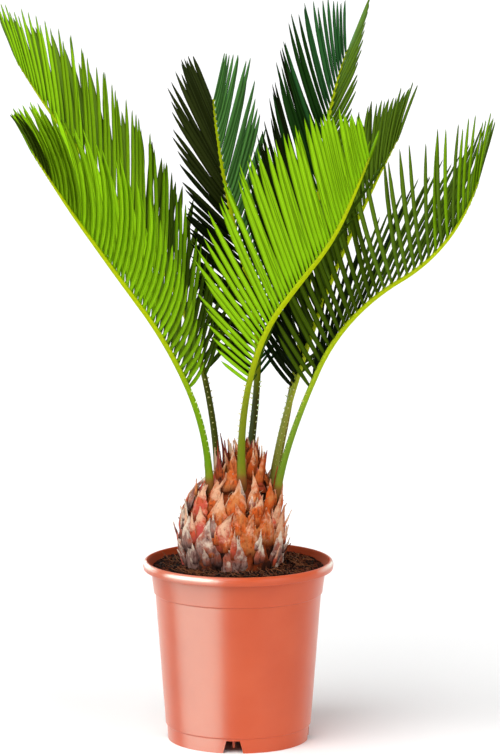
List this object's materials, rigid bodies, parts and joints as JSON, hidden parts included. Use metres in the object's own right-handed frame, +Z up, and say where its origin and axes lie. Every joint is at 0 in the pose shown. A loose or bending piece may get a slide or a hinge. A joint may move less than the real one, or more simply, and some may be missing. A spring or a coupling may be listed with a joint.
{
  "type": "potted sago palm",
  "caption": "Young sago palm with a squat, scaly trunk and arching feather-shaped fronds, planted in a tapered plastic nursery pot with a rolled rim and a notched foot.",
  "frame": {"origin": "on the ground under the middle of the pot, under the middle of the whole plant to within 4 mm", "axes": "+Z up along the trunk, -Y towards the side the plant is seen from, +X to that viewer's right"},
  "size_m": [0.3873, 0.2331, 0.5835],
  "materials": {
    "pot": "satin terracotta-coloured moulded plastic",
    "soil": "damp peat and bark",
    "caudex": "dry leaf bases, fibrous",
    "frond_lime": "fresh waxy leaf",
    "frond_green": "waxy leaf",
    "frond_dark": "dark waxy leaf"
  },
  "bodies": {
    "root": {"pot": "pot", "soil": "soil", "caudex": "caudex", "frond_front": "frond_lime", "frond_left_front": "frond_lime", "frond_right_front": "frond_green", "frond_left_back": "frond_green", "frond_back_right": "frond_dark", "frond_back_left": "frond_dark", "frond_right_back": "frond_green"}
  },
  "joints": []
}
